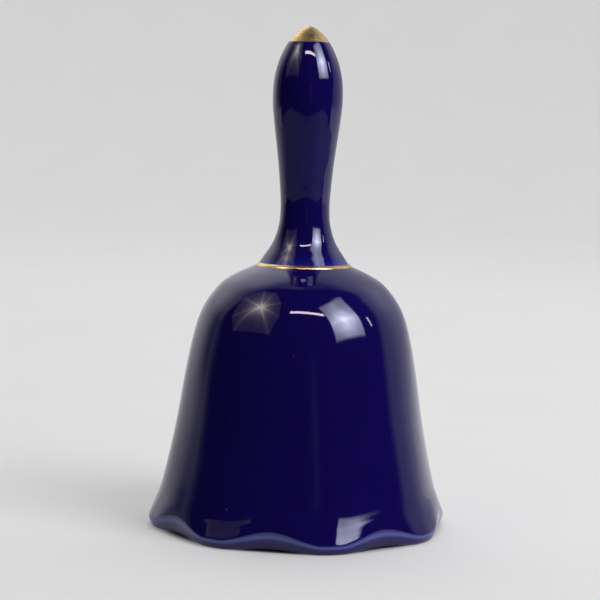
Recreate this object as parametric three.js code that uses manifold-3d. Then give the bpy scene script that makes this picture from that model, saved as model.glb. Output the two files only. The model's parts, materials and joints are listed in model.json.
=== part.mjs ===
// A porcelain table bell: a fluted body on an eight-lobed rim, a turned handle with a gilt point,
// and a bead clapper that hangs inside from a staple and a ring.
// Millimetres, +Z up. The origin is the centre of the plane that the rim stands on.
import * as THREE from "three";
import { mergeVertices } from "three/addons/utils/BufferGeometryUtils.js";
import Module from "manifold-3d";

const wasm = await Module();
wasm.setup();

// Body
const bodyHeight = 73.4; // rest plane to the seat of the handle
const seatRadius = 13; // edge of that seat
const rimRadius = 41.38; // mean radius of the lip
const bodyWall = 3;
const crownHoleRadius = 6.5;
const lobes = 8;
const fluteTop = 66; // the body is round above this height
const fluteDepth = 0.45; // how far the flutes swing in and out at the lip
const curlTop = 10; // the rim's own curl starts here
const curlDepth = 0.6; // what the curl adds to the swing at the lip
const riseTop = 22; // the rim's valleys start to lift here
const valleyRise = 2.7; // how far the lip lifts between two lobes
const footRise = 0.8; // how far the foot lifts there
const lipHeight = 2.7; // foot to the widest part of the round lip
const lipInset = 1.3; // how far the lip rolls in, down to the foot
const footWidth = 1.4; // bare ring that the bell stands on
const innerRoll = 0.7; // round edge from the foot to the inner wall

// Handle
const handleLength = 66.6;
const waistRadius = 6.9; // thinnest part, above the flared base
const gripRadius = 9.8; // widest part, under the point
const handleWall = 3.1;
const boreTopDepth = 11; // tip of the handle to the top of its bore

// Gilding
const gildThickness = 0.5;
const gildGap = 0.1; // clearance between the gilding and the porcelain under it
const tipGildLength = 4.6; // gilt part of the point
const neckGildHeight = 0.7;

// Hanger
const plugClearance = 0.3; // plaster plug to the porcelain around it
const plugInHandle = 3; // how far the plug reaches into the handle
const plugFlangeRadius = 9;
const plugFlangeHeight = 1.9;
const plugBevel = 0.8;
const wireRadius = 0.7; // staple, ring and clapper pin are all this wire
const stapleBendRadius = 3.5;
const stapleDrop = 3.8; // underside of the plug to the middle of the staple's bend
const stapleLegDepth = 6; // how far its legs go into the plug
const wireClearance = 0.2; // staple legs to their holes in the plug
const ringRadius = 3.6; // to the middle of the wire
const eyeRadius = 2.6;
const linkGap = 0.25; // between two linked wires

// Clapper
const beadHeight = 18; // rest plane to the middle of the bead
const beadRadius = 8;
const beadPlay = 0.3; // bead to the collar at each end, and to the pin through it
const collarRadius = 2.2;
const collarHeight = 0.9;
const collarClearance = 0.1;
const rivetRadius = 1.3;
const rivetHeight = 0.8;

// Fineness of the meshes
const bodyRows = 64; // spans of the bell's outline
const wallRowStep = 4; // the plain wall keeps one row in this many
const curlFineTop = 9; // the curl below this keeps every row
const columnsPerLobe = 10;
const handleColumns = 24;
const smallColumns = 20;
const wireSides = 8;

// Turns three.js's Y-up lathes and cylinders to Z up without rounding.
const zUp = new THREE.Matrix4().set(1, 0, 0, 0, 0, 0, -1, 0, 0, 1, 0, 0, 0, 0, 0, 1);

// An outline is a smooth curve through [radius, height] pairs, in equal steps.
function smoothOutline(pairs, steps) {
  const knots = pairs.map(([radius, height]) => new THREE.Vector3(radius, height, 0));
  const curve = new THREE.CatmullRomCurve3(knots);
  curve.arcLengthDivisions = 800;
  return curve.getSpacedPoints(steps).map((p) => new THREE.Vector2(p.x, p.y));
}

// The same outline moved towards the axis, square to itself. It runs upwards.
function inset(outline, distance) {
  return outline.map((point, i) => {
    const before = outline[Math.max(i - 1, 0)];
    const after = outline[Math.min(i + 1, outline.length - 1)];
    const along = after.clone().sub(before).normalize();
    const onAxis = point.x < 1e-6;
    const inward = onAxis ? new THREE.Vector2(0, -1) : new THREE.Vector2(-along.y, along.x);
    return point.clone().addScaledVector(inward, distance);
  });
}

// One point in so many, for the stretches that need no more.
function thinned(outline, interval) {
  return outline.filter((point, i) => i % interval === 0);
}

// Radius of an upward outline at a height.
function radiusAt(outline, height) {
  const i = outline.findIndex((point) => point.y > height);
  const low = outline[i - 1];
  const high = outline[i];
  return low.x + ((high.x - low.x) * (height - low.y)) / (high.y - low.y);
}

function pair(radius, height) {
  return new THREE.Vector2(radius, height);
}

function lathe(profile, columns) {
  return new THREE.LatheGeometry(profile, columns).applyMatrix4(zUp);
}

function upright(radius, low, high, columns) {
  const cylinder = new THREE.CylinderGeometry(radius, radius, high - low, columns);
  return cylinder.applyMatrix4(zUp).translate(0, 0, (low + high) / 2);
}

// A geometry as a manifold-3d solid, and a solid as a geometry.
function solid(geometry) {
  const bare = geometry.clone();
  bare.deleteAttribute("normal");
  bare.deleteAttribute("uv");
  const merged = mergeVertices(bare, 1e-3);
  const vertProperties = new Float32Array(merged.attributes.position.array);
  const triVerts = new Uint32Array(merged.index.array);
  return new wasm.Manifold(new wasm.Mesh({ numProp: 3, vertProperties, triVerts }));
}

function geometryOf(body) {
  const mesh = body.getMesh();
  const geometry = new THREE.BufferGeometry();
  geometry.setAttribute("position", new THREE.BufferAttribute(mesh.vertProperties, 3));
  geometry.setIndex(new THREE.BufferAttribute(mesh.triVerts, 1));
  geometry.computeVertexNormals();
  return geometry;
}

// ---- Body ----------------------------------------------------------------

// From the lip up to the seat. Each pair is a share of the way from the seat's radius to the rim's,
// and a share of the way from the lip up to the seat.
const bodyShape = [
  [1, 0],
  [0.991, 0.017],
  [0.977, 0.033],
  [0.96, 0.05],
  [0.942, 0.068],
  [0.908, 0.11],
  [0.877, 0.16],
  [0.775, 0.358],
  [0.684, 0.584],
  [0.629, 0.697],
  [0.573, 0.782],
  [0.512, 0.839],
  [0.43, 0.888],
  [0.331, 0.931],
  [0.19, 0.966],
  [0, 1],
];
const bodyOutline = smoothOutline(
  bodyShape.map(([outward, upward]) => [
    seatRadius + (rimRadius - seatRadius) * outward,
    lipHeight + (bodyHeight - lipHeight) * upward,
  ]),
  bodyRows,
).filter((point, i) => point.y < curlFineTop || i % wallRowStep === 0);

// Goes from 0 at the top height to 1 at the lip, and stays 1 below the lip.
function towardsLip(height, top) {
  return THREE.MathUtils.clamp((top - height) / (top - lipHeight), 0, 1);
}

// How far the rim has lifted at an angle: nothing over each lobe's flat pad, all of it in a valley.
function valley(angle) {
  const padHalfAngle = (2 * Math.PI) / (lobes * columnsPerLobe);
  const rise = (1 - Math.cos(lobes * angle)) / 2;
  const padRise = (1 - Math.cos(lobes * padHalfAngle)) / 2;
  return Math.max(0, rise - padRise) / (1 - padRise);
}

// How far a valley has lifted at a height. Below the lip it goes from the foot's lift to the lip's.
function riseAt(height) {
  if (height < lipHeight) return THREE.MathUtils.lerp(footRise, valleyRise, height / lipHeight);
  return valleyRise * towardsLip(height, riseTop) ** 2;
}

// Presses the flutes and the scalloped rim into a round body.
function scallop(geometry) {
  const position = geometry.attributes.position;
  for (let i = 0; i < position.count; i++) {
    const angle = Math.atan2(position.getY(i), position.getX(i));
    const height = position.getZ(i);
    const flute = fluteDepth * towardsLip(height, fluteTop) ** 1.2;
    const curl = curlDepth * towardsLip(height, curlTop) ** 2;
    const radius = Math.hypot(position.getX(i), position.getY(i));
    const swung = radius + Math.cos(lobes * angle) * (flute + curl);
    const lifted = height + riseAt(height) * valley(angle);
    position.setXYZ(i, swung * Math.cos(angle), swung * Math.sin(angle), lifted);
  }
  return geometry;
}

const crownUnderside = bodyHeight - bodyWall;
const crownFlatRadius = plugFlangeRadius + plugClearance; // flat underside that the plug is pressed to

function bellSkirt() {
  const lip = [];
  const rollSteps = 4;
  for (let i = 0; i < rollSteps; i++) {
    const turn = (Math.PI / 2) * (1 - i / rollSteps);
    const inwards = lipInset * (1 - Math.cos(turn));
    lip.push(pair(rimRadius - inwards, lipHeight * (1 - Math.sin(turn))));
  }
  const footRadius = rimRadius - lipInset - footWidth;
  const inside = thinned(inset(bodyOutline, bodyWall), 2)
    .filter((point) => point.y > lipHeight && point.y < crownUnderside && point.x > crownFlatRadius)
    .reverse();
  const profile = [
    pair(crownHoleRadius, bodyHeight),
    pair(crownHoleRadius, crownUnderside),
    pair(crownFlatRadius, crownUnderside),
    ...inside,
    pair(footRadius - innerRoll * 0.8, innerRoll),
    pair(footRadius, 0),
    ...lip,
    ...bodyOutline,
    pair(crownHoleRadius, bodyHeight),
  ];
  return scallop(lathe(profile, lobes * columnsPerLobe));
}

// ---- Handle and gilding --------------------------------------------------

const handleTop = bodyHeight + handleLength;
const flareRadii = [1, 0.705, 0.295, 0.05, 0];
const flareHeights = [0, 0.039, 0.099, 0.174, 0.249];
const swellRadii = [0.1, 0.285, 0.538, 0.809, 1, 0.917];
const swellHeights = [0.324, 0.414, 0.505, 0.595, 0.685, 0.775];
const pointRadii = [0.856, 0.676, 0.546, 0.362, 0.204, 0.092, 0];
const pointHeights = [0.85, 0.91, 0.94, 0.97, 0.988, 0.996, 1];
const handleShape = [
  ...flareHeights.map((up, i) => [waistRadius + (seatRadius - waistRadius) * flareRadii[i], up]),
  ...swellHeights.map((up, i) => [waistRadius + (gripRadius - waistRadius) * swellRadii[i], up]),
  ...pointHeights.map((up, i) => [gripRadius * pointRadii[i], up]),
];
const handleOutline = smoothOutline(
  handleShape.map(([radius, upward]) => [radius, bodyHeight + handleLength * upward]),
  60,
);
const gildEdge = handleTop - tipGildLength;
const neckGildTop = bodyHeight + neckGildHeight;
const neckGildRadius = seatRadius - gildThickness;

function handle() {
  const boreTop = handleTop - boreTopDepth;
  const bore = thinned(inset(handleOutline, handleWall), 4)
    .filter((point) => point.y > bodyHeight + plugInHandle && point.y < boreTop)
    .map((point) => pair(Math.min(point.x, crownHoleRadius), point.y))
    .reverse();
  const underNeckGild = neckGildTop + gildGap;
  const shaft = thinned(handleOutline, 3).filter((point) => point.y > underNeckGild && point.y < gildEdge);
  const underTip = inset(handleOutline, gildThickness + gildGap).filter((point) => point.y > gildEdge);
  const profile = [
    pair(0, boreTop),
    ...bore,
    pair(crownHoleRadius, bodyHeight + plugInHandle),
    pair(crownHoleRadius, bodyHeight),
    pair(neckGildRadius - gildGap, bodyHeight),
    pair(neckGildRadius - gildGap, underNeckGild),
    pair(radiusAt(handleOutline, underNeckGild), underNeckGild),
    ...shaft,
    pair(radiusAt(handleOutline, gildEdge), gildEdge),
    pair(radiusAt(inset(handleOutline, gildThickness + gildGap), gildEdge), gildEdge),
    ...underTip,
  ];
  return lathe(profile, handleColumns);
}

function tipGilding() {
  const skinBottom = gildEdge + gildGap;
  const outside = handleOutline.filter((point) => point.y > skinBottom);
  const underside = inset(handleOutline, gildThickness);
  const inside = underside.filter((point) => point.y > skinBottom).reverse();
  const profile = [
    ...inside,
    pair(radiusAt(underside, skinBottom), skinBottom),
    pair(radiusAt(handleOutline, skinBottom), skinBottom),
    ...outside,
  ];
  return lathe(profile, handleColumns);
}

function neckGilding() {
  const profile = [
    pair(neckGildRadius, bodyHeight),
    pair(seatRadius, bodyHeight),
    pair(radiusAt(handleOutline, neckGildTop) + gildGap, neckGildTop),
    pair(neckGildRadius, neckGildTop),
    pair(neckGildRadius, bodyHeight),
  ];
  return lathe(profile, handleColumns);
}

// ---- Hanger --------------------------------------------------------------

const plugFlangeTop = crownUnderside - plugClearance;
const plugBottom = plugFlangeTop - plugFlangeHeight;
const plugRadius = crownHoleRadius - plugClearance;
const plugTop = bodyHeight + plugInHandle - plugClearance;
const stapleBottom = plugBottom - stapleDrop; // middle of the wire where the ring hangs
const bendMiddle = stapleBottom + stapleBendRadius;
const legTop = plugBottom + stapleLegDepth;

function crownPlug() {
  const profile = [
    pair(0, plugBottom),
    pair(plugFlangeRadius - plugBevel, plugBottom),
    pair(plugFlangeRadius, plugBottom + plugBevel),
    pair(plugFlangeRadius, plugFlangeTop),
    pair(plugRadius, plugFlangeTop),
    pair(plugRadius, plugTop - plugBevel),
    pair(plugRadius - plugBevel, plugTop),
    pair(0, plugTop),
  ];
  const holeRadius = wireRadius + wireClearance;
  const holeTop = legTop + wireClearance;
  let plug = solid(lathe(profile, smallColumns));
  for (const side of [-1, 1]) {
    const hole = upright(holeRadius, plugBottom - 1, holeTop, 12);
    plug = plug.subtract(solid(hole.translate(side * stapleBendRadius, 0, 0)));
  }
  return geometryOf(plug);
}

// A U of wire in the XZ plane: down one leg, round the bend and up the other leg.
class StaplePath extends THREE.Curve {
  getPoint(t, target = new THREE.Vector3()) {
    const leg = legTop - bendMiddle;
    const bend = Math.PI * stapleBendRadius;
    const gone = t * (2 * leg + bend);
    if (gone < leg) return target.set(-stapleBendRadius, 0, legTop - gone);
    if (gone > leg + bend) return target.set(stapleBendRadius, 0, bendMiddle + gone - leg - bend);
    const turn = (gone - leg) / stapleBendRadius;
    const across = -stapleBendRadius * Math.cos(turn);
    return target.set(across, 0, bendMiddle - stapleBendRadius * Math.sin(turn));
  }
}

function wireSection() {
  const section = new THREE.Shape();
  for (let i = 0; i < wireSides; i++) {
    const turn = (2 * Math.PI * (i + 0.5)) / wireSides;
    const x = wireRadius * Math.cos(turn);
    const y = wireRadius * Math.sin(turn);
    if (i === 0) section.moveTo(x, y);
    else section.lineTo(x, y);
  }
  section.closePath();
  return section;
}

function hangerStaple() {
  return new THREE.ExtrudeGeometry(wireSection(), { steps: 28, extrudePath: new StaplePath() });
}

const ringTop = stapleBottom + 2 * wireRadius + linkGap;
const ringMiddle = ringTop - ringRadius;
const ringBottom = ringMiddle - ringRadius; // middle of the wire where the clapper hangs
const eyeTop = ringBottom + 2 * wireRadius + linkGap;
const eyeMiddle = eyeTop - eyeRadius;

// Stands in the YZ plane, square to the staple.
function hangerRing() {
  const torus = new THREE.TorusGeometry(ringRadius, wireRadius, wireSides, smallColumns);
  return torus.rotateY(Math.PI / 2).translate(0, 0, ringMiddle);
}

// ---- Clapper -------------------------------------------------------------

const beadHoleRadius = wireRadius + beadPlay;
const beadHalfHeight = Math.sqrt(beadRadius ** 2 - beadHoleRadius ** 2);
const topCollarBottom = beadHeight + beadHalfHeight + beadPlay;
const bottomCollarTop = beadHeight - beadHalfHeight - beadPlay;
const rivetTop = bottomCollarTop - collarHeight - collarClearance;

// An eye in the XZ plane, the shank under it, and the riveted end below the bead.
function clapperPin() {
  const torus = new THREE.TorusGeometry(eyeRadius, wireRadius, wireSides, smallColumns);
  const eye = torus.applyMatrix4(zUp).translate(0, 0, eyeMiddle);
  const shank = upright(wireRadius, rivetTop - rivetHeight / 2, eyeMiddle - eyeRadius, 12);
  const rivetProfile = [
    pair(0, rivetTop - rivetHeight),
    pair(rivetRadius * 0.7, rivetTop - rivetHeight),
    pair(rivetRadius, rivetTop - rivetHeight / 2),
    pair(rivetRadius, rivetTop),
    pair(0, rivetTop),
  ];
  const rivet = lathe(rivetProfile, 12);
  return geometryOf(solid(eye).add(solid(shank)).add(solid(rivet)));
}

function collar(low) {
  const high = low + collarHeight;
  const holeRadius = wireRadius + collarClearance;
  const profile = [
    pair(holeRadius, low),
    pair(collarRadius, low),
    pair(collarRadius, high),
    pair(holeRadius, high),
    pair(holeRadius, low),
  ];
  return lathe(profile, smallColumns);
}

function clapperBead() {
  const steps = 12;
  const poleAngle = Math.asin(beadHoleRadius / beadRadius);
  const profile = [];
  for (let i = 0; i <= steps; i++) {
    const turn = poleAngle + ((Math.PI - 2 * poleAngle) * i) / steps;
    profile.push(pair(beadRadius * Math.sin(turn), beadHeight - beadRadius * Math.cos(turn)));
  }
  profile.push(profile[0].clone());
  return lathe(profile, smallColumns);
}

// ---- Assembly ------------------------------------------------------------

function finish(color, roughness, metalness) {
  return new THREE.MeshStandardMaterial({ color, roughness, metalness });
}

const cobaltGlaze = finish(0x0e0546, 0.06, 0);
const gilt = finish(0xb58a4a, 0.28, 1);
const plaster = finish(0xe8e4da, 0.9, 0);
const brass = finish(0xb08d4c, 0.35, 1);
const whiteGlaze = finish(0xeeeef0, 0.12, 0);

const bell = new THREE.Group();
bell.name = "porcelain_bell";

function place(parent, name, geometry, material) {
  const mesh = new THREE.Mesh(geometry, material);
  mesh.name = name;
  parent.add(mesh);
}

const shell = new THREE.Group();
place(shell, "bell_skirt", bellSkirt(), cobaltGlaze);
place(shell, "handle", handle(), cobaltGlaze);
place(shell, "tip_gilding", tipGilding(), gilt);
place(shell, "neck_gilding", neckGilding(), gilt);
place(shell, "crown_plug", crownPlug(), plaster);
place(shell, "hanger_staple", hangerStaple(), brass);
bell.add(shell);

const clapper = new THREE.Group();
place(clapper, "hanger_ring", hangerRing(), brass);
place(clapper, "clapper_pin", clapperPin(), brass);
place(clapper, "clapper_collar_top", collar(topCollarBottom), brass);
place(clapper, "clapper_collar_bottom", collar(bottomCollarTop - collarHeight), brass);
place(clapper, "clapper_bead", clapperBead(), whiteGlaze);
bell.add(clapper);

export default bell;
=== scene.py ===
"""Looks of the porcelain bell: cobalt and white glaze, gilding, plaster and brass, in a pale studio.

Shapes are worked out in millimetres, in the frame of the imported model, and become metres in mesh_piece().
"""
import json
import math

import bpy
import numpy as np
from mathutils import Matrix, Vector, noise


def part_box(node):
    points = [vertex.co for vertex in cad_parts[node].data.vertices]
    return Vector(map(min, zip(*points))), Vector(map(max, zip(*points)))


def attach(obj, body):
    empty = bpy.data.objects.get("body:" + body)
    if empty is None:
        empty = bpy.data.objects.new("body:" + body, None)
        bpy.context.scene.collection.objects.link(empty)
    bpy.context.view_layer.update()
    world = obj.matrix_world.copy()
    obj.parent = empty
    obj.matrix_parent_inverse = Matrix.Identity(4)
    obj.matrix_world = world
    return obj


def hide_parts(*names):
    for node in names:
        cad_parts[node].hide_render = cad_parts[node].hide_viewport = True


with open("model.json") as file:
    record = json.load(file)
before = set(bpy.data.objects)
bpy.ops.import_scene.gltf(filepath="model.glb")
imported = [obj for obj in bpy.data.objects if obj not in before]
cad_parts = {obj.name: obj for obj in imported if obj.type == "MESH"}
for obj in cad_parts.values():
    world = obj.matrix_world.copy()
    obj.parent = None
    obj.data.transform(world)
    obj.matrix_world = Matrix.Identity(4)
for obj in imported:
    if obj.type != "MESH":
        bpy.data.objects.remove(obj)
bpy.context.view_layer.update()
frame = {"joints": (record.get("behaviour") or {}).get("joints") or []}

MM = 0.001


def box_mm(node):
    """Lowest and highest corner of a CAD node, in millimetres."""
    return [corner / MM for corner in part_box(node)]


def joint_height(name):
    """Height of a joint's pivot, in millimetres."""
    joint = next(j for j in frame["joints"] if j["name"] == name)
    return joint["pos_m"][2] / MM


# ---- Sizes, in millimetres -------------------------------------------------

# Body
BODY_HEIGHT = box_mm("handle")[0].z
SEAT_RADIUS = box_mm("neck_gilding")[1].x
FLUTE_DEPTH = 0.45  # how far a flute's middle stands off a plain round body
CURL_DEPTH = 0.6  # the same, for the curl that the rim adds to it
RIM_RADIUS = box_mm("bell_skirt")[1].x - FLUTE_DEPTH - CURL_DEPTH
BODY_WALL = 3.0
CROWN_UNDERSIDE = BODY_HEIGHT - BODY_WALL
CROWN_HOLE_RADIUS = 6.5
LOBES = 8
FLUTE_TOP = 66.0
FLUTE_POWER = 1.2  # over 1, so that a flute deepens faster towards the lip
CURL_TOP = 10.0
RISE_TOP = 22.0
VALLEY_RISE = 2.7  # how far the lip lifts between two lobes
FOOT_RISE = 0.8  # how far the foot lifts there
LIP_HEIGHT = 2.7  # from the foot to the widest part of the round lip
LIP_INSET = 1.3
LIP_EASE = 0.5  # the glaze rounds the lip's edge this far to each side
FOOT_WIDTH = 1.4
FOOT_EASE = 0.2
FOOT_RADIUS = RIM_RADIUS - LIP_INSET - FOOT_WIDTH
INNER_ROLL = 1.4  # height of the soft edge inside the foot
PACKED_COLUMNS = 10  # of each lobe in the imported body, which stands on the middle two
PAD_HALF_ANGLE = 2 * math.pi / (LOBES * PACKED_COLUMNS)

# Handle and gilding
HANDLE_TOP = box_mm("tip_gilding")[1].z
HANDLE_LENGTH = HANDLE_TOP - BODY_HEIGHT
WAIST_RADIUS = 6.9
GRIP_RADIUS = 9.8
HANDLE_WALL = 3.1
BORE_TOP = HANDLE_TOP - 11.0
GILD_EDGE = HANDLE_TOP - 4.6
GILD_RELIEF = 0.04  # how far the gold stands off the glaze
GILD_SKIN = 0.25  # thickness drawn for the gold
GILD_GAP = 0.05  # between the gold and the porcelain under it
NECK_LINE_RISE = 0.55  # how far the gold line reaches up the handle
NECK_LINE_REACH = 0.55  # and out over the shoulder
NECK_LINE_SWELL = 0.1

# Hanger and clapper
WIRE_RADIUS = 0.7
STAPLE_BOTTOM = joint_height("ring_swing")
STAPLE_BEND_RADIUS = 3.5
STAPLE_LEG_TOP = box_mm("hanger_staple")[1].z
RING_RADIUS = 3.6
RING_BOTTOM = joint_height("clapper_swing")
RING_MIDDLE = RING_BOTTOM + RING_RADIUS
EYE_RADIUS = 2.6
EYE_MIDDLE = box_mm("clapper_pin")[1].z - WIRE_RADIUS - EYE_RADIUS
RIVET_BOTTOM = box_mm("clapper_pin")[0].z
RIVET_RADIUS = 1.3
RIVET_HEIGHT = 0.8
BEAD_HEIGHT = joint_height("bead_spin")
BEAD_RADIUS = 8.0
BEAD_HOLE_RADIUS = 1.0
COLLAR_RADIUS = 2.2
COLLAR_HOLE_RADIUS = 0.8

# Plaster plug
PLUG_EDGE = 0.9  # width of its worn edges
PLUG_LUMPS = 0.022  # how far its lumps go, as a share of the distance from the middle of its underside
PLUG_GRAIN = 0.007

# Fineness
OUTLINE_STEPS = 240
HANDLE_STEPS = 260
LIP_STEPS = 20
SKIRT_COLUMNS = 400
HANDLE_COLUMNS = 160
SMALL_COLUMNS = 64
WIRE_SIDES = 20
SHARP_ANGLE = math.radians(38)

# Outlines, as shares of the sizes above
BODY_SHAPE = [
    (1, 0), (0.986, 0.017), (0.9725, 0.033), (0.958, 0.05), (0.942, 0.068), (0.908, 0.11), (0.877, 0.16),
    (0.775, 0.358), (0.684, 0.584), (0.629, 0.697), (0.573, 0.782), (0.512, 0.839), (0.43, 0.888),
    (0.331, 0.931), (0.19, 0.966), (0, 1),
]
FLARE_SHAPE = [(1, 0), (0.705, 0.039), (0.295, 0.099), (0.05, 0.174), (0, 0.249)]
SWELL_SHAPE = [(0.1, 0.324), (0.285, 0.414), (0.538, 0.505), (0.809, 0.595), (1, 0.685), (0.917, 0.775)]
POINT_SHAPE = [
    (0.856, 0.85), (0.676, 0.91), (0.546, 0.94), (0.362, 0.97), (0.204, 0.988), (0.092, 0.996), (0, 1),
]

# Colours
COBALT_DEEP = (0.0052, 0.0018, 0.064)
COBALT_THINNER = (0.008, 0.006, 0.16)
COBALT_THINNEST = (0.06, 0.08, 0.26)
DUST = (0.22, 0.2, 0.27)
WHITE_POOLED = (0.74, 0.75, 0.77)
WHITE_CLEAN = (0.83, 0.83, 0.82)
IRON_SPECK = (0.16, 0.12, 0.09)
BISQUE_DARK = (0.6, 0.58, 0.55)
BISQUE_PALE = (0.78, 0.77, 0.75)
GOLD_DARK = (0.56, 0.39, 0.14)
GOLD_MIDDLE = (0.72, 0.53, 0.25)
GOLD_PALE = (0.84, 0.66, 0.38)
GOLD_WORN = (0.16, 0.08, 0.05)
PLASTER_DARK = (0.6, 0.56, 0.49)
PLASTER_PALE = (0.8, 0.77, 0.71)
# Painted shade for the plaster's air holes
PLASTER_HOLE_SHADE = (0.38, 0.34, 0.28)
BRASS_CLEAN = (0.76, 0.56, 0.26)
BRASS_TARNISHED = (0.3, 0.19, 0.09)
DARK_ROOM = (0.012, 0.011, 0.013)


# ---- Outlines --------------------------------------------------------------

def blend(start, end, share):
    return start + (end - start) * share


def curve_through(knots, samples_per_span=60):
    """Points on a centripetal Catmull-Rom curve through the knots."""
    knots = np.asarray(knots, float)
    ends = [2 * knots[0] - knots[1]], [2 * knots[-1] - knots[-2]]
    padded = np.vstack([ends[0], knots, ends[1]])
    share = np.linspace(0, 1, samples_per_span, endpoint=False)[:, None]
    spans = []
    for p0, p1, p2, p3 in zip(padded, padded[1:], padded[2:], padded[3:]):
        d0, d1, d2 = (math.sqrt(math.dist(a, b)) for a, b in ((p0, p1), (p1, p2), (p2, p3)))
        leave = ((p1 - p0) / d0 - (p2 - p0) / (d0 + d1) + (p2 - p1) / d1) * d1
        arrive = ((p2 - p1) / d1 - (p3 - p1) / (d1 + d2) + (p3 - p2) / d2) * d1
        bend = -3 * p1 + 3 * p2 - 2 * leave - arrive
        twist = 2 * p1 - 2 * p2 + leave + arrive
        spans.append(p1 + leave * share + bend * share**2 + twist * share**3)
    return np.vstack(spans + [knots[-1:]])


def arc_lengths(points):
    steps = np.hypot(*np.diff(points, axis=0).T)
    return np.concatenate([[0], np.cumsum(steps)])


def respaced(points, steps):
    """The same line in equal steps."""
    along = arc_lengths(points)
    wanted = np.linspace(0, along[-1], steps + 1)
    return np.column_stack([np.interp(wanted, along, points[:, axis]) for axis in (0, 1)])


def inset(outline, distance):
    """An upward outline moved towards the axis, square to itself."""
    along = np.gradient(outline, axis=0)
    along /= np.hypot(*along.T)[:, None]
    inward = np.column_stack([-along[:, 1], along[:, 0]])
    moved = outline + inward * distance
    return moved[moved[:, 0] > 0]


def rounded(points, corner, reach, steps=6):
    """The line with the corner nearest to a point eased over a reach on both sides of it."""
    points = np.asarray(points, float)
    middle = nearest_row(points, corner)
    along = arc_lengths(points)
    start, end = along[middle] - reach, along[middle] + reach
    first, last = (
        np.array([np.interp(at, along, points[:, axis]) for axis in (0, 1)]) for at in (start, end)
    )
    share = np.linspace(0, 1, steps + 1)[:, None]
    ease = first * (1 - share) ** 2 + 2 * points[middle] * share * (1 - share) + last * share**2
    return np.vstack([points[along < start - 1e-6], ease, points[along > end + 1e-6]])


def radius_at(outline, height):
    return float(np.interp(height, outline[:, 1], outline[:, 0]))


def nearest_row(profile, point):
    return int(np.argmin(np.hypot(*(profile - point).T)))


def bell_curve(distance, width):
    """1 at no distance, and next to nothing two widths away."""
    return np.exp(-((distance / width) ** 2))


BODY_OUTLINE = respaced(
    curve_through([
        (blend(SEAT_RADIUS, RIM_RADIUS, outward), blend(LIP_HEIGHT, BODY_HEIGHT, upward))
        for outward, upward in BODY_SHAPE
    ]),
    OUTLINE_STEPS,
)
HANDLE_OUTLINE = respaced(
    curve_through([
        (radius, BODY_HEIGHT + HANDLE_LENGTH * upward)
        for radius, upward in (
            [(blend(WAIST_RADIUS, SEAT_RADIUS, share), up) for share, up in FLARE_SHAPE]
            + [(blend(WAIST_RADIUS, GRIP_RADIUS, share), up) for share, up in SWELL_SHAPE]
            + [(GRIP_RADIUS * share, up) for share, up in POINT_SHAPE]
        )
    ]),
    HANDLE_STEPS,
)


# ---- Meshes ----------------------------------------------------------------

def mesh_piece(name, vertices, faces, materials, zones=None):
    """A smooth-shaded object from vertices in millimetres. zones gives each face its material."""
    mesh = bpy.data.meshes.new(name)
    mesh.from_pydata((np.asarray(vertices) * MM).tolist(), [], faces)
    for material in materials:
        mesh.materials.append(material)
    if zones is not None:
        mesh.polygons.foreach_set("material_index", zones)
    mesh.shade_smooth()
    mesh.set_sharp_from_angle(angle=SHARP_ANGLE)
    piece = bpy.data.objects.new(name, mesh)
    bpy.context.scene.collection.objects.link(piece)
    return piece


def mark(piece, name, values):
    """Gives each vertex a number that a material reads by name."""
    attribute = piece.data.attributes.new(name, "FLOAT", "POINT")
    attribute.data.foreach_set("value", np.asarray(values, np.float32))


def turned(name, profile, columns, materials, zones=None, marks=None, warp=None):
    """A profile of [radius, height] rows turned round Z. It closes on itself, or its ends lie on the axis.

    zones gives each row's faces their material, marks gives each row its numbers, and warp moves vertices.
    """
    profile = np.asarray(profile, float)
    turns = np.arange(columns) * 2 * math.pi / columns
    vertices = []
    rings = []
    row_of = []
    for row, (radius, height) in enumerate(profile):
        count = columns if radius > 1e-6 else 1
        rings.append(len(row_of) + np.arange(columns) % count)
        row_of += [row] * count
        turn = turns[:count]
        ring = [radius * np.cos(turn), radius * np.sin(turn), np.full(count, height)]
        vertices.append(np.column_stack(ring))
    pairs = list(zip(range(len(profile)), range(1, len(profile))))
    if profile[0][0] > 1e-6:
        pairs.append((len(profile) - 1, 0))
    faces = []
    face_zones = []
    for low, high in pairs:
        a, b = rings[low], rings[high]
        corners = [a, np.roll(a, -1), np.roll(b, -1), b]
        if a[0] == a[1]:
            del corners[1]
        elif b[0] == b[1]:
            del corners[2]
        faces += np.column_stack(corners).tolist()
        face_zones += [0 if zones is None else zones[low]] * columns
    points = np.vstack(vertices)
    if warp is not None:
        points = warp(points)
    piece = mesh_piece(name, points, faces, materials, face_zones)
    for key, values in (marks or {}).items():
        mark(piece, key, np.asarray(values)[row_of])
    return piece


def turned_sheet(name, profile, columns, material):
    """An open sheet turned round Z, from a point on the axis outwards."""
    turns = np.arange(columns) * 2 * math.pi / columns
    rings = [[0] * columns]
    vertices = [[0, 0, profile[0][1]]]
    for radius, height in profile[1:]:
        rings.append([len(vertices) + i for i in range(columns)])
        vertices += [[radius * math.cos(turn), radius * math.sin(turn), height] for turn in turns]
    faces = []
    for a, b in zip(rings, rings[1:]):
        for i in range(columns):
            j = (i + 1) % columns
            faces.append([a[i], b[i], b[j]] if a[i] == a[j] else [a[i], b[i], b[j], a[j]])
    return mesh_piece(name, vertices, faces, [material])


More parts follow.
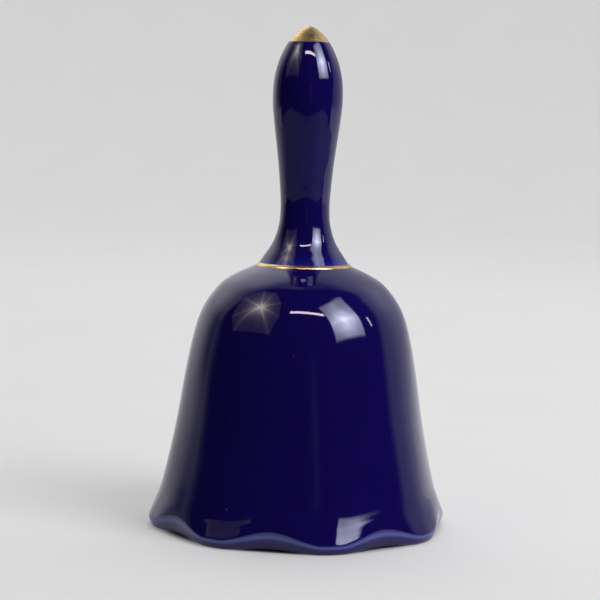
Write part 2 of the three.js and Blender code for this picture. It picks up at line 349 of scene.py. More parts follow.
def wire(name, path, plane_normal, material, closed=False):
    """A round wire along a flat path, with domed ends if it isn't closed."""
    path = np.asarray(path, float)
    if closed:
        along = np.roll(path, -1, 0) - np.roll(path, 1, 0)
    else:
        along = np.gradient(path, axis=0)
    along /= np.linalg.norm(along, axis=1)[:, None]
    across = np.asarray(plane_normal, float)
    beside = np.cross(across, along)
    turn = np.arange(WIRE_SIDES) * 2 * math.pi / WIRE_SIDES
    spokes = np.cos(turn)[None, :, None] * beside[:, None, :] + np.sin(turn)[None, :, None] * across
    rings = path[:, None, :] + WIRE_RADIUS * spokes
    if not closed:
        cap_radius = WIRE_RADIUS * 0.72
        cap_height = WIRE_RADIUS * 0.22
        first = path[0] - along[0] * cap_height + cap_radius * spokes[0]
        last = path[-1] + along[-1] * cap_height + cap_radius * spokes[-1]
        rings = np.concatenate([first[None], rings, last[None]])
    vertices = rings.reshape(-1, 3)
    index = np.arange(len(vertices)).reshape(len(rings), WIRE_SIDES)
    rows = len(rings) if closed else len(rings) - 1
    faces = []
    for row in range(rows):
        a, b = index[row], index[(row + 1) % len(rings)]
        faces += np.column_stack([a, b, np.roll(b, -1), np.roll(a, -1)]).tolist()
    if not closed:
        faces.append(index[0].tolist())
        faces.append(index[-1][::-1].tolist())
    return mesh_piece(name, vertices, faces, [material])


# ---- Materials -------------------------------------------------------------

class Shader:
    """A new material and its node tree, with a short call for each kind of node."""

    def __init__(self, name):
        self.material = bpy.data.materials.new(name)
        self.material.use_nodes = True
        self.tree = self.material.node_tree
        self.tree.nodes.clear()
        self.output = self.tree.nodes.new("ShaderNodeOutputMaterial")

    def add(self, kind, inputs=None, **settings):
        node = self.tree.nodes.new(kind)
        for key, value in settings.items():
            setattr(node, key, value)
        for key, value in (inputs or {}).items():
            if isinstance(value, bpy.types.NodeSocket):
                self.tree.links.new(value, node.inputs[key])
            else:
                node.inputs[key].default_value = value
        return node

    def place(self):
        """Object coordinates, in metres."""
        return self.add("ShaderNodeTexCoord").outputs["Object"]

    def noise(self, size_mm, detail=3.0, stretch=(1, 1, 1)):
        """Grey noise from 0 to 1 with blotches of about this size."""
        spread = self.add("ShaderNodeMapping", {"Vector": self.place(), "Scale": stretch})
        settings = {"Vector": spread.outputs[0], "Scale": 1 / (size_mm * MM), "Detail": detail}
        return self.add("ShaderNodeTexNoise", settings).outputs[0]

    def mark(self, name):
        return self.add("ShaderNodeAttribute", attribute_name=name).outputs["Fac"]

    def ramp(self, value, stops):
        """Colours or greys along a value. stops is a list of (place, colour)."""
        node = self.add("ShaderNodeValToRGB", {0: value})
        elements = node.color_ramp.elements
        while len(elements) < len(stops):
            elements.new(0.5)
        for element, (position, colour) in zip(elements, stops):
            element.position = position
            element.color = (*colour, 1) if isinstance(colour, tuple) else (colour, colour, colour, 1)
        return node.outputs[0]

    def sum(self, a, b, operation="ADD", clamp=False):
        return self.add("ShaderNodeMath", {0: a, 1: b}, operation=operation, use_clamp=clamp).outputs[0]

    def mix(self, share, a, b, blend_type="MIX"):
        """Blends two colours."""
        a, b = ((*side, 1) if isinstance(side, tuple) else side for side in (a, b))
        node = self.add("ShaderNodeMix", {0: share, 6: a, 7: b}, data_type="RGBA", blend_type=blend_type)
        return node.outputs[2]

    def cells(self, size_mm):
        """Cells about this large, with a distance from each middle and a colour of their own."""
        settings = {"Vector": self.place(), "Scale": 1 / (size_mm * MM)}
        return self.add("ShaderNodeTexVoronoi", settings).outputs

    def specks(self, apart_mm, middle, edge, left_out):
        """1 on small round specks about this far apart. Most are left out."""
        cell = self.cells(apart_mm)
        near = self.ramp(cell["Distance"], [(middle, 1.0), (edge, 0.0)])
        kept = self.ramp(cell["Color"], [(left_out, 0.0), (left_out + 0.02, 1.0)])
        return self.sum(near, kept, "MULTIPLY")

    def bump(self, height, depth_mm, below=None):
        """Raises the surface by up to this depth where height is 1."""
        inputs = {"Height": height, "Strength": 1.0, "Distance": depth_mm * MM}
        if below is not None:
            inputs["Normal"] = below
        return self.add("ShaderNodeBump", inputs).outputs[0]

    def principled(self, **inputs):
        shader = self.add("ShaderNodeBsdfPrincipled", {k.replace("_", " "): v for k, v in inputs.items()})
        self.tree.links.new(shader.outputs[0], self.output.inputs["Surface"])
        return self.material


def cobalt_glaze():
    """Deep glossy cobalt that pales where the glaze runs thin over an edge, with a few pinholes."""
    s = Shader("cobalt_glaze")
    thin = s.sum(s.mark("thin"), s.ramp(s.noise(1.6), [(0.35, 0.0), (0.7, 0.03)]), clamp=True)
    depth = s.ramp(thin, [(0, COBALT_DEEP), (0.35, COBALT_THINNER), (1, COBALT_THINNEST)])
    cloud = s.ramp(s.noise(14, 2), [(0.3, 0.95), (0.7, 1.04)])
    clouded = s.mix(1.0, depth, cloud, "MULTIPLY")
    spot = s.specks(4.2, 0.018, 0.03, 0.86)
    speckled = s.mix(spot, clouded, DUST)
    ripple = s.bump(s.noise(9, 1), 0.008)
    pit = s.bump(spot, -0.02, ripple)
    roughness = s.ramp(s.noise(5, 4), [(0.3, 0.03), (0.75, 0.055)])
    return s.principled(Base_Color=speckled, Roughness=roughness, IOR=1.5, Normal=pit)


def white_glaze():
    """Clear glaze on white porcelain, a little greyer where it pools, with rare dark specks."""
    s = Shader("white_glaze")
    pool = s.ramp(s.noise(6, 3), [(0.3, WHITE_POOLED), (0.7, WHITE_CLEAN)])
    colour = s.mix(s.specks(5, 0.02, 0.035, 0.82), pool, IRON_SPECK)
    ripple = s.bump(s.noise(5, 2), 0.012)
    roughness = s.ramp(s.noise(3, 3), [(0.3, 0.06), (0.7, 0.12)])
    return s.principled(Base_Color=colour, Roughness=roughness, IOR=1.5, Normal=ripple)


def bare_porcelain():
    """Unglazed, faintly sandy porcelain."""
    s = Shader("bare_porcelain")
    colour = s.ramp(s.noise(0.9, 5), [(0.3, BISQUE_DARK), (0.75, BISQUE_PALE)])
    grain = s.bump(s.noise(0.25, 4), 0.02)
    roughness = s.ramp(s.noise(0.6, 3), [(0.3, 0.6), (0.7, 0.8)])
    return s.principled(Base_Color=colour, Roughness=roughness, Normal=grain)


def gilt():
    """Burnished gold, brushed on in strokes round the bell and worn thin in places."""
    s = Shader("gilt")
    stroke = s.noise(1.4, 5, (0.5, 0.5, 3))
    colour = s.ramp(stroke, [(0.3, GOLD_DARK), (0.55, GOLD_MIDDLE), (0.8, GOLD_PALE)])
    worn = s.ramp(s.noise(0.8, 3), [(0.7, 0.0), (0.76, 1.0)])
    faded = s.mix(worn, colour, GOLD_WORN)
    roughness = s.ramp(stroke, [(0.3, 0.36), (0.7, 0.22)])
    brushed = s.bump(s.noise(0.5, 4, (0.4, 0.4, 3)), 0.004)
    return s.principled(Base_Color=faded, Metallic=1.0, Roughness=roughness, Normal=brushed)


def plaster():
    """Chalky plaster with air holes, each painted darker inside as shade."""
    s = Shader("plaster")
    colour = s.ramp(s.noise(1.8, 6), [(0.3, PLASTER_DARK), (0.7, PLASTER_PALE)])
    dent_and_shade = s.ramp(s.cells(1.6)["Distance"], [(0.1, 0.0), (0.22, 1.0)])
    # The dark colour in the air holes is painted shade; the same mask sinks them in the bump.
    shaded = s.mix(dent_and_shade, PLASTER_HOLE_SHADE, colour)
    lumps = s.bump(s.noise(0.7, 6), 0.12)
    pitted = s.bump(dent_and_shade, 0.1, lumps)
    roughness = s.ramp(s.noise(0.9, 3), [(0.3, 0.85), (0.7, 0.97)])
    return s.principled(Base_Color=shaded, Roughness=roughness, Normal=pitted)


def brass():
    """Drawn brass wire, dull and brown where it has tarnished."""
    s = Shader("brass")
    tarnish = s.ramp(s.noise(2.2, 5), [(0.42, 0.0), (0.62, 1.0)])
    colour = s.mix(tarnish, BRASS_CLEAN, BRASS_TARNISHED)
    roughness = s.ramp(s.noise(1.6, 4), [(0.3, 0.24), (0.7, 0.5)])
    drawn = s.bump(s.noise(0.3, 3, (1, 1, 0.15)), 0.01)
    return s.principled(Base_Color=colour, Metallic=1.0, Roughness=roughness, Normal=drawn)


COBALT = cobalt_glaze()
WHITE = white_glaze()
BARE = bare_porcelain()
GILT = gilt()
PLASTER = plaster()
BRASS = brass()


# ---- Body ------------------------------------------------------------------

def towards_lip(height, top):
    """From 0 at the top height to 1 at the lip and below it."""
    return np.clip((top - height) / (top - LIP_HEIGHT), 0, 1)


def valley(angle):
    """Share of the rim's lift at an angle: nothing on each lobe's flat pad, all of it in a valley."""
    rise = (1 - np.cos(LOBES * angle)) / 2
    pad_rise = (1 - math.cos(LOBES * PAD_HALF_ANGLE)) / 2
    return np.maximum(0, rise - pad_rise) / (1 - pad_rise)


def rise_at(height):
    """How far a valley has lifted at a height. Below the lip it goes from the foot's lift to the lip's."""
    below = blend(FOOT_RISE, VALLEY_RISE, height / LIP_HEIGHT)
    return np.where(height < LIP_HEIGHT, below, VALLEY_RISE * towards_lip(height, RISE_TOP) ** 2)


def scallop(points):
    """Presses the flutes and the scalloped rim into a round body."""
    angle = np.arctan2(points[:, 1], points[:, 0])
    radius = np.hypot(points[:, 0], points[:, 1])
    height = points[:, 2]
    flute = FLUTE_DEPTH * towards_lip(height, FLUTE_TOP) ** FLUTE_POWER
    curl = CURL_DEPTH * towards_lip(height, CURL_TOP) ** 2
    swung = radius + np.cos(LOBES * angle) * (flute + curl)
    lifted = height + rise_at(height) * valley(angle)
    return np.column_stack([swung * np.cos(angle), swung * np.sin(angle), lifted])


def skirt_profile():
    """From the crown hole down the inside, round the foot and the lip, and up the outside."""
    turn = np.linspace(math.pi / 2, 0, LIP_STEPS, endpoint=False)
    lip = np.column_stack([
        RIM_RADIUS - LIP_INSET * (1 - np.cos(turn)),
        LIP_HEIGHT * (1 - np.sin(turn)),
    ])
    inside = inset(BODY_OUTLINE, BODY_WALL)[::-2]
    inside = inside[(inside[:, 1] > LIP_HEIGHT) & (inside[:, 1] < CROWN_UNDERSIDE)]
    turn = np.linspace(0, math.pi / 2, 6, endpoint=False)
    wall_foot = inside[-1][0]
    roll = np.column_stack([
        FOOT_RADIUS - (FOOT_RADIUS - wall_foot) * np.cos(turn),
        INNER_ROLL * (1 - np.sin(turn)),
    ])
    hole = [[CROWN_HOLE_RADIUS, BODY_HEIGHT], [CROWN_HOLE_RADIUS, CROWN_UNDERSIDE]]
    profile = np.vstack([hole, inside, roll, [[FOOT_RADIUS, 0]], lip, BODY_OUTLINE])
    profile = rounded(profile, (RIM_RADIUS, LIP_HEIGHT), LIP_EASE, 10)
    return rounded(profile, (RIM_RADIUS - LIP_INSET, 0), FOOT_EASE)


def skirt():
    """The body: cobalt outside, white inside, and bare where it stands. The cobalt thins over the lip."""
    profile = skirt_profile()
    in_foot = profile[:, 0] > FOOT_RADIUS + FOOT_WIDTH * 0.9
    cobalt_start = int(np.argmax(in_foot & (profile[:, 1] < LIP_HEIGHT)))
    foot_start = nearest_row(profile, (FOOT_RADIUS, 0))
    materials = [COBALT, WHITE, BARE]
    zones = np.full(len(profile), materials.index(COBALT))
    zones[:foot_start] = materials.index(WHITE)
    zones[foot_start:cobalt_start] = materials.index(BARE)
    along = arc_lengths(profile)
    widest = nearest_row(profile, (RIM_RADIUS - LIP_INSET * 0.06, LIP_HEIGHT * 0.78))
    thin_edge = bell_curve(along - along[widest], 0.5)
    thin_foot = bell_curve(along - along[cobalt_start], 0.3)
    piece = turned(
        "bell_skirt_glazed", profile, SKIRT_COLUMNS, materials,
        zones=zones.tolist(), marks={"thin": np.clip(thin_edge + thin_foot, 0, 1)}, warp=scallop,
    )
    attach(piece, "bell")
    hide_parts("bell_skirt")


def handle():
    """Turned and hollow, cut back under the gilt point. The cobalt thins at the neck and under the gold."""
    under_gild = inset(HANDLE_OUTLINE, GILD_SKIN + GILD_GAP)
    bore = inset(HANDLE_OUTLINE, HANDLE_WALL)[::-3]
    bore = bore[(bore[:, 1] > BODY_HEIGHT + 3) & (bore[:, 1] < BORE_TOP)]
    bore[:, 0] = np.minimum(bore[:, 0], CROWN_HOLE_RADIUS)
    ledge = GILD_EDGE + GILD_GAP
    profile = np.vstack([
        [[0, BORE_TOP]],
        bore,
        [[CROWN_HOLE_RADIUS, BODY_HEIGHT]],
        HANDLE_OUTLINE[HANDLE_OUTLINE[:, 1] < GILD_EDGE - 0.1],
        [[radius_at(HANDLE_OUTLINE, GILD_EDGE), GILD_EDGE]],
        [[radius_at(under_gild, ledge), ledge]],
        under_gild[under_gild[:, 1] > GILD_EDGE + 0.1],
        [[0, HANDLE_TOP - GILD_SKIN - GILD_GAP]],
    ])
    height = profile[:, 1]
    thin_neck = 0.45 * bell_curve(height - BODY_HEIGHT, 2.2)
    thin_top = 0.3 * bell_curve(height - GILD_EDGE, 0.3)
    piece = turned("handle_glazed", profile, HANDLE_COLUMNS, [COBALT], marks={"thin": thin_neck + thin_top})
    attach(piece, "bell")
    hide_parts("handle")


def tip_gilding():
    """A thin gold cap, its lower edge raised a little where the brush left off."""
    outside = HANDLE_OUTLINE[HANDLE_OUTLINE[:, 1] > GILD_EDGE + 0.5]
    inside = inset(HANDLE_OUTLINE, GILD_SKIN)
    inside = inside[inside[:, 1] > GILD_EDGE + 0.1][::-1]
    edge_radius = radius_at(HANDLE_OUTLINE, GILD_EDGE)
    shoulder = GILD_EDGE + 0.3
    edge = [
        [edge_radius - GILD_SKIN, GILD_EDGE],
        [edge_radius, GILD_EDGE - 0.05],
        [edge_radius + GILD_RELIEF, GILD_EDGE + 0.05],
        [radius_at(HANDLE_OUTLINE, shoulder) + GILD_RELIEF / 2, shoulder],
    ]
    profile = np.vstack([[[0, HANDLE_TOP - GILD_SKIN]], inside, edge, outside[:-1], [[0, HANDLE_TOP]]])
    piece = turned("tip_gilt", profile, HANDLE_COLUMNS, [GILT])
    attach(piece, "bell")
    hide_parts("tip_gilding")


def neck_gilding():
    """A gold line in the corner between the handle and the shoulder."""
    top = BODY_HEIGHT + NECK_LINE_RISE
    top_radius = radius_at(HANDLE_OUTLINE, top)
    bottom_radius = SEAT_RADIUS + NECK_LINE_REACH
    bottom = float(np.interp(-bottom_radius, -BODY_OUTLINE[:, 0], BODY_OUTLINE[:, 1]))
    share = np.linspace(0, 1, 9)
    swell = NECK_LINE_SWELL * np.sin(math.pi * share)
    face = np.column_stack([
        blend(bottom_radius, top_radius, share) + swell,
        blend(bottom, top, share) + swell * 0.8,
    ])
    buried = [
        [top_radius - 0.3, top - 0.05],
        [SEAT_RADIUS - 0.3, BODY_HEIGHT],
        [bottom_radius - 0.1, bottom - 0.1],
    ]
    piece = turned("neck_gilt", np.vstack([buried, face]), HANDLE_COLUMNS, [GILT])
    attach(piece, "bell")
    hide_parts("neck_gilding")


# ---- Hanger ----------------------------------------------------------------

def lumpy(points):
    """Plaster that was pressed in by hand."""
    moved = []
    for point in points:
        lumps = PLUG_LUMPS * noise.noise(Vector(point) * 0.45)
        grain = PLUG_GRAIN * noise.noise(Vector(point) * 1.7)
        moved.append(Vector(point) * (1 + lumps + grain))
    return np.array(moved)


def crown_plug():
    """Plaster that fills the crown hole, with a flange under the crown."""
    low, high = box_mm("crown_plug")
    flange_radius = high.x
    profile = np.array([
        [0, low.z],
        [flange_radius * 0.5, low.z],
        [flange_radius - PLUG_EDGE, low.z + 0.05],
        [flange_radius, low.z + PLUG_EDGE],
        [flange_radius, CROWN_UNDERSIDE],
        [CROWN_HOLE_RADIUS, CROWN_UNDERSIDE],
        [CROWN_HOLE_RADIUS - 0.1, high.z - 0.8],
        [CROWN_HOLE_RADIUS - PLUG_EDGE, high.z],
        [0, high.z],
    ])
    profile = np.vstack([profile[:1], respaced(profile, 60)[1:-1], profile[-1:]])
    profile[:, 1] -= low.z
    lifted = (0, 0, low.z)
    piece = turned(
        "plaster_plug", profile, SMALL_COLUMNS, [PLASTER], warp=lambda points: lumpy(points) + lifted,
    )
    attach(piece, "bell")
    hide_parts("crown_plug")


def hanger_staple():
    """A U of wire, its legs set in the plaster."""
    bend_middle = STAPLE_BOTTOM + STAPLE_BEND_RADIUS
    leg = np.linspace(STAPLE_LEG_TOP, bend_middle, 14, endpoint=False)
    turn = np.linspace(0, math.pi, 33)
    radius = STAPLE_BEND_RADIUS
    path = [[-radius, 0, height] for height in leg]
    path += [[-radius * math.cos(t), 0, bend_middle - radius * math.sin(t)] for t in turn]
    path += [[radius, 0, height] for height in leg[::-1]]
    piece = wire("staple_wire", path, (0, 1, 0), BRASS)
    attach(piece, "bell")
    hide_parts("hanger_staple")


def hanger_ring():
    """A jump ring, its two cut ends nearly touching on one side."""
    half_gap = 0.02
    turn = np.linspace(half_gap, 2 * math.pi - half_gap, 73)
    path = [[0, RING_RADIUS * math.cos(t), RING_MIDDLE + RING_RADIUS * math.sin(t)] for t in turn]
    piece = wire("ring_wire", path, (1, 0, 0), BRASS)
    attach(piece, "ring")
    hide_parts("hanger_ring")


# ---- Clapper ---------------------------------------------------------------

def clapper_pin():
    """One wire: the shank, then the eye that it is bent into."""
    eye_bottom = EYE_MIDDLE - EYE_RADIUS
    shank_bottom = RIVET_BOTTOM + RIVET_HEIGHT / 2
    shank = [[0, height] for height in np.linspace(shank_bottom, eye_bottom - 0.9, 40)]
    start = math.radians(-68)
    end = math.radians(256)
    first = np.array([EYE_RADIUS * math.cos(start), EYE_MIDDLE + EYE_RADIUS * math.sin(start)])
    share = np.linspace(0, 1, 9)[1:-1, None]
    heel = np.array([0.05, eye_bottom])
    bend = (1 - share) ** 2 * np.array(shank[-1]) + 2 * share * (1 - share) * heel + share**2 * first
    turn = np.linspace(start, end, 60)
    eye = np.column_stack([EYE_RADIUS * np.cos(turn), EYE_MIDDLE + EYE_RADIUS * np.sin(turn)])
    flat = np.vstack([shank, bend, eye])
    path = np.column_stack([flat[:, 0], np.zeros(len(flat)), flat[:, 1]])
    piece = wire("pin_wire", path, (0, 1, 0), BRASS)
    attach(piece, "clapper")
    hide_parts("clapper_pin")


def rivet():
    """The pin's lower end, hammered over under the bottom collar."""
    top = RIVET_BOTTOM + RIVET_HEIGHT
    turn = np.linspace(0, math.pi / 2, 9)
    dome = np.column_stack([RIVET_RADIUS * np.sin(turn), top - RIVET_HEIGHT * np.cos(turn)])
    profile = np.vstack([dome, [[RIVET_RADIUS * 0.95, top], [0, top]]])
    piece = turned("pin_rivet", profile, SMALL_COLUMNS, [BRASS])
    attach(piece, "clapper")


def collar(node, name):
    """A brass washer with its edges worn."""
    low, high = (corner.z for corner in box_mm(node))
    hole, rim = COLLAR_HOLE_RADIUS, COLLAR_RADIUS
    soft = 0.18
    profile = [
        [hole, high - soft], [hole, low + soft], [hole + soft, low], [rim - soft, low],
        [rim, low + soft], [rim, high - soft], [rim - soft, high], [hole + soft, high],
    ]
    piece = turned(name, profile, SMALL_COLUMNS, [BRASS])
    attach(piece, "clapper")
    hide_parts(node)


def clapper_bead():
    """A white ball, drilled through, with the edges of its hole rounded by the glaze."""
    pole = math.asin((BEAD_HOLE_RADIUS + 0.35) / BEAD_RADIUS)
    turn = np.linspace(pole, math.pi - pole, 60)
    ball = np.column_stack([BEAD_RADIUS * np.sin(turn), BEAD_HEIGHT - BEAD_RADIUS * np.cos(turn)])
    hole_half = BEAD_RADIUS * math.cos(pole) - 0.3
    hole = [[BEAD_HOLE_RADIUS, BEAD_HEIGHT + hole_half], [BEAD_HOLE_RADIUS, BEAD_HEIGHT - hole_half]]
    piece = turned("bead_glazed", np.vstack([ball, hole]), 96, [WHITE])
    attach(piece, "bead")
    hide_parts("clapper_bead")


# ---- Studio ----------------------------------------------------------------

STUDIO_TURN = -12.55  # degrees: the camera stands between two lobes of the rim
STUDIO_CENTRE = Vector((0, 0, 62 * MM))


def towards(azimuth, elevation, distance=1.0):
    """A point seen from the bell in this direction. Azimuth 0 is the camera's side, and 90 its right."""
    turn = math.radians(azimuth + STUDIO_TURN)
    rise = math.radians(elevation)
    flat = math.cos(rise)
    direction = Vector((math.sin(turn) * flat, -math.cos(turn) * flat, math.sin(rise)))
    return STUDIO_CENTRE + distance * direction


def emission(name, colour, marked=False):
    """Plain light of this colour or, if marked, as strong as the mesh's own glow."""
    s = Shader(name)
    strength = s.mark("glow") if marked else 1.0
    glow = s.add("ShaderNodeEmission", {"Color": (*colour, 1), "Strength": strength})
    s.tree.links.new(glow.outputs[0], s.output.inputs["Surface"])
    return s.material


def unseen(piece, lights_up=False):
    """Shows only in reflections, or in them and in the light that surfaces get from it."""
    piece.visible_camera = False
    piece.visible_diffuse = lights_up
    piece.visible_shadow = False
    piece.visible_transmission = False
    piece.visible_volume_scatter = False


def grid_card(name, place, across, up, material, glow=None, lights_up=False):
    """A card whose points come from place(s, t), with s and t from 0 to 1, and its glow from glow(s, t)."""
    shares = [(i / across, j / up) for j in range(up + 1) for i in range(across + 1)]
    vertices = [place(s, t) / MM for s, t in shares]
    faces = []
    for j in range(up):
        for i in range(across):
            corner = j * (across + 1) + i
            faces.append([corner, corner + 1, corner + across + 2, corner + across + 1])
    card = mesh_piece(name, vertices, faces, [material])
    if glow is not None:
        mark(card, "glow", [glow(s, t) for s, t in shares])
    unseen(card, lights_up)
    return card


def between(*corners):
    """A place function for a flat card.

    Its corners are bottom left, bottom right, top left and top right, each as towards() takes it.
    """
    low_left, low_right, high_left, high_right = (towards(*corner) for corner in corners)

    def place(s, t):
        low = low_left.lerp(low_right, s)
        high = high_left.lerp(high_right, s)
        return low.lerp(high, t)

    return place


def eased(value, start, end):
    """From 0 at start to 1 at end, smoothly."""
    share = min(1, max(0, (value - start) / (end - start)))
    return share * share * (3 - 2 * share)


def fading(distance, reach):
    """1 at no distance, with a slightly rounded peak, and falling off over the reach."""
    return math.exp((0.03 - math.hypot(distance, 0.03)) / reach)


def softbox():
    """Bright in the middle, and along a faint cross where the lamp's arms stand behind the cloth."""
    def glow(s, t):
        edge = min(1, 24 * min(s, 1 - s)) * min(1, 16 * min(t, 1 - t))
        mottle = 1 + 0.25 * noise.noise(Vector((s * 5, t * 7, 1)))
        return edge * (1.6 + mottle * 19 * fading(s - 0.5, 0.42) * fading(t - 0.42, 0.24))

    place = between((38, 19, 1.15), (74, 17, 1.15), (27, 61, 1.1), (84, 61, 1.1))
    grid_card("softbox", place, 60, 80, emission("softbox_glow", (0.95, 0.97, 1.25), marked=True), glow)


def strip_lights():
    """A long pinkish tube overhead, and a short white one on the right."""
    pink = emission("strip_glow", (1.2, 0.96, 1.1), marked=True)
    place = between((-19, 51, 1.3), (31, 47, 1.3), (-19, 54.5, 1.3), (31, 50.5, 1.3))
    grid_card("long_strip", place, 24, 2, pink, lambda s, t: 16)
    white = emission("short_strip_glow", (0.95, 0.97, 1.1), marked=True)
    place = between((85, 23, 1.3), (87, 23, 1.3), (85, 32, 1.3), (88, 32, 1.3))
    grid_card("short_strip", place, 2, 12, white, lambda s, t: 8)


def umbrella():
    """An eight-ribbed umbrella with its lamp near the hub: bright there, with streaks along its ribs."""
    distance = 1.05
    rib_ends = [(-31, 44), (-43, 63), (-74, 68), (-98, 62), (-105, 45), (-92, 26), (-82, 18), (-35, 23)]
    hub = towards(-67, 51, distance)
    rim = [towards(azimuth, elevation, distance) for azimuth, elevation in rib_ends]
    steps = 12

    def place(s, t):
        side = s * len(rim)
        first = int(side) % len(rim)
        out = rim[first].lerp(rim[(first + 1) % len(rim)], side - int(side))
        return hub.lerp(out, max(t, 0.001))

    def glow(s, t):
        fold = abs((s * len(rim) + 0.5) % 1 - 0.5)
        fine = 0.7 + 0.3 * math.cos(2 * math.pi * 3 * len(rim) * s)
        cloth = 0.22 + 10 * fading(t, 0.2)
        streak = 1 + 0.9 * bell_curve(fold, 0.12) * fine
        hollow = 1 - 0.5 * bell_curve(t, 0.05)
        low_side = 1 - 0.45 * t * bell_curve(s - 0.72, 0.2)
        return cloth * streak * hollow * low_side * (0.75 + 0.25 * fine)

    cloth_glow = emission("umbrella_glow", (1.06, 0.94, 0.8), marked=True)
    grid_card("umbrella", place, len(rim) * steps, 24, cloth_glow, glow)


def surroundings():
    """What the glaze mirrors round the bell: pale paper behind and beside it, a dark room in front."""
    def direction(s, t):
        return blend(-180, 180, s), blend(-4, 90, t)

    def place(s, t):
        return towards(*direction(s, t), 1.42)

    def glow(s, t):
        azimuth, elevation = direction(s, t)
        # The left-hand paper is dimmer low down and brighter towards the back, and has one fold.
        left_edge = 101 - 5 * bell_curve(elevation - 10, 9)
        left = eased(-azimuth, left_edge, left_edge + 11) * (0.15 + 0.35 * eased(elevation, 14, 30))
        left += 0.66 * eased(-azimuth, 110, 134)
        left += 0.07 * bell_curve(azimuth + 107, 1.3) - 0.05 * bell_curve(azimuth + 113, 3)
        # The right-hand paper leans back, and a lamp lights a patch of it.
        right_edge = 83 + 0.42 * elevation
        right = 0.4 * eased(azimuth, right_edge, right_edge + 11) + 0.1 * eased(azimuth, 100, 125)
        lamplit = 0.45 * bell_curve(azimuth - 132, 18) * bell_curve(elevation - 33, 15)
        # Paper ends some way up. At the horizon it is as bright as the floor that it meets.
        paper = (left + right + lamplit) * (1 - 0.75 * eased(elevation, 52, 70))
        near_floor = eased(-elevation, -5, 4) * eased(abs(azimuth), 96, 125)
        paper = blend(paper, 0.66, near_floor)
        # Someone stands in the dark room, next to the camera.
        visitor = 0.1 * bell_curve(azimuth - 10.5, 4) * bell_curve(elevation - 6, 9)
        return DARK_ROOM[0] + paper + visitor

    paper_glow = emission("surroundings_glow", (1.0, 0.97, 1.0), marked=True)
    grid_card("surroundings", place, 240, 72, paper_glow, glow)


def dark_room():
    """Keeps the sky's light off the bell from the camera's side and from overhead."""
    def place(s, t):
        left = -112 - 35 * max(0, t - 0.45)
        right = 84 + 26 * t + 40 * max(0, t - 0.6)
        return towards(blend(left, right, s), blend(-4, 88, t), 1.45)

    room = grid_card("dark_room", place, 48, 24, emission("dark_room", DARK_ROOM), lights_up=True)
    room.visible_glossy = False


def table_edge():
    """The white paper in front of the bell: shaded towards the camera, and dark past its edge."""
    front = 0.52  # metres from the bell to each edge of the paper
    left = 0.75
    right = 0.64
    near = 0.15  # the shade starts here
    far = 1.45
    lift = 0.002  # off the floor

    def edge(azimuth):
        turn = math.radians(azimuth)
        ahead = front / max(math.cos(turn), 0.01)
        beside = (right if azimuth > 0 else left) / max(abs(math.sin(turn)), 0.01)
        return min(ahead, beside, far)

    def on_floor(azimuth, radius):
        turn = math.radians(azimuth + STUDIO_TURN)
        return Vector((radius * math.sin(turn), -radius * math.cos(turn), lift))

    def paper_azimuth(s):
        return blend(-128, 108, s)

    def paper(s, t):
        azimuth = paper_azimuth(s)
        return on_floor(azimuth, blend(near, edge(azimuth), t))

    def beyond(s, t):
        azimuth = blend(-98, 86, s)
        return on_floor(azimuth, blend(edge(azimuth), far, t))

    def glow(s, t):
        azimuth = paper_azimuth(s)
        right_side = (0.17 * eased(azimuth, 15, 60) + 0.35 * eased(azimuth, 92, 108)) * (1 - 0.7 * t)
        left_side = 0.5 * eased(-azimuth, 86, 124)
        return 0.19 + left_side + right_side + 0.3 * eased(t, 0.2, 0)

    grid_card("shaded_paper", paper, 96, 12, emission("shaded_paper", (1.0, 0.96, 1.0), marked=True), glow)
    grid_card("dark_floor", beyond, 96, 2, emission("dark_floor", DARK_ROOM))


def pale_floor():
    """One seamless pale surface: a flat floor that curves up all round.

    It glows a little, as painted light that is a little stronger from 0.8 m out and up the curve; under the
    bell the glow stops, a painted shadow where the rim keeps the room's light out.
    """
    s = Shader("pale_sweep")
    paper = s.ramp(s.noise(60, 3), [(0.3, 0.4), (0.7, 0.41)])
    # The floor's emission is painted light, left out under the bell as a painted shadow.
    s.principled(
        Base_Color=paper, Roughness=0.9, Specular_IOR_Level=0.1,
        Emission_Color=(1.0, 0.985, 0.99, 1), Emission_Strength=s.mark("glow"),
    )
    flat = 1500
    bend = 600
    wall_top = 2200
    turn = np.linspace(0, math.pi / 2, 24)
    curve = np.column_stack([flat + bend * np.sin(turn), bend * (1 - np.cos(turn))])
    near = [[radius, 0] for radius in (25, 38, 39, 40, 41, 42, 44, 46, 52, 60, 75, 110, 200, 500)]
    profile = np.vstack([[[0, 0]], near, curve, [[flat + bend, wall_top]]])
    sweep = turned_sheet("pale_sweep", profile, 96, s.material)
    glow = []
    for vertex in sweep.data.vertices:
        radius = math.hypot(vertex.co.x, vertex.co.y) / MM
        # Painted shadow under the rim, and painted light on the far floor and the wall.
        clear_of_painted_rim_shadow = eased(radius, 38.5, 41.8)
        far_painted_light = eased(radius, 800, flat)
        glow.append(0.25 * clear_of_painted_rim_shadow + 0.08 * far_painted_light)
    mark(sweep, "glow", glow)


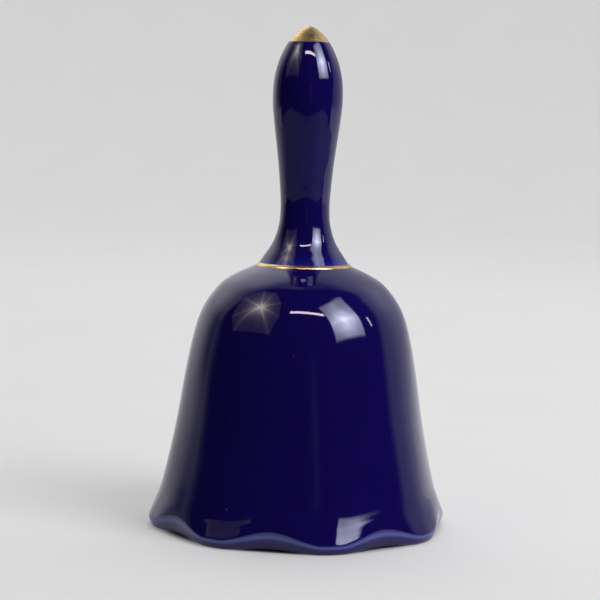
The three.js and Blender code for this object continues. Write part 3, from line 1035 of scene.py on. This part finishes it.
def area_light(name, place, width, height, watts, colour):
    """A soft light on the bell that isn't seen in the glaze: the cards are seen there."""
    data = bpy.data.lights.new(name, "AREA")
    data.shape = "RECTANGLE"
    data.size = width
    data.size_y = height
    data.energy = watts
    data.color = colour
    light = bpy.data.objects.new(name, data)
    light.location = place
    light.rotation_euler = (STUDIO_CENTRE - place).to_track_quat("-Z", "Y").to_euler()
    light.visible_camera = False
    light.visible_glossy = False
    bpy.context.scene.collection.objects.link(light)


def lights():
    """A bright sky of paper, and three soft lamps: one at the right, one at the left, one behind."""
    world = bpy.data.worlds.new("studio_air")
    world.use_nodes = True
    background = world.node_tree.nodes["Background"]
    background.inputs["Color"].default_value = (0.97, 0.97, 1.0, 1)
    background.inputs["Strength"].default_value = 1.0
    bpy.context.scene.world = world
    area_light("key", towards(56, 41, 1.2), width=0.7, height=0.9, watts=13, colour=(1.0, 0.99, 1.0))
    area_light("fill", towards(-64, 48, 1.2), width=0.8, height=0.8, watts=1.2, colour=(1.0, 0.97, 0.96))
    area_light("back", towards(178, 62, 1.3), width=1.2, height=0.7, watts=7, colour=(1.0, 1.0, 1.0))


def camera():
    """Stands a little above the bell's middle, looks slightly down, and is rolled a little."""
    distance = 494 * MM
    height = 107.7 * MM
    pitch = math.radians(5.12)
    yaw = math.radians(-0.09)
    roll = math.radians(1.41)
    data = bpy.data.cameras.new("camera")
    data.sensor_width = 36
    data.lens = 105.6
    data.clip_start = 0.02
    data.clip_end = 10
    view = bpy.data.objects.new("camera", data)
    turn = Matrix.Rotation(math.radians(STUDIO_TURN), 4, "Z")
    stand = Matrix.Translation((0, -distance, height))
    aim = Matrix.Rotation(-yaw, 4, "Z") @ Matrix.Rotation(math.pi / 2 - pitch, 4, "X")
    view.matrix_world = turn @ stand @ aim @ Matrix.Rotation(roll, 4, "Z")
    bpy.context.scene.collection.objects.link(view)
    bpy.context.scene.camera = view


def colour_management():
    settings = bpy.context.scene.view_settings
    settings.view_transform = "Standard"
    settings.look = "None"


skirt()
handle()
tip_gilding()
neck_gilding()
crown_plug()
hanger_staple()
hanger_ring()
clapper_pin()
rivet()
collar("clapper_collar_top", "collar_top")
collar("clapper_collar_bottom", "collar_bottom")
clapper_bead()

pale_floor()
surroundings()
dark_room()
table_edge()
softbox()
strip_lights()
umbrella()
lights()
camera()
colour_management()
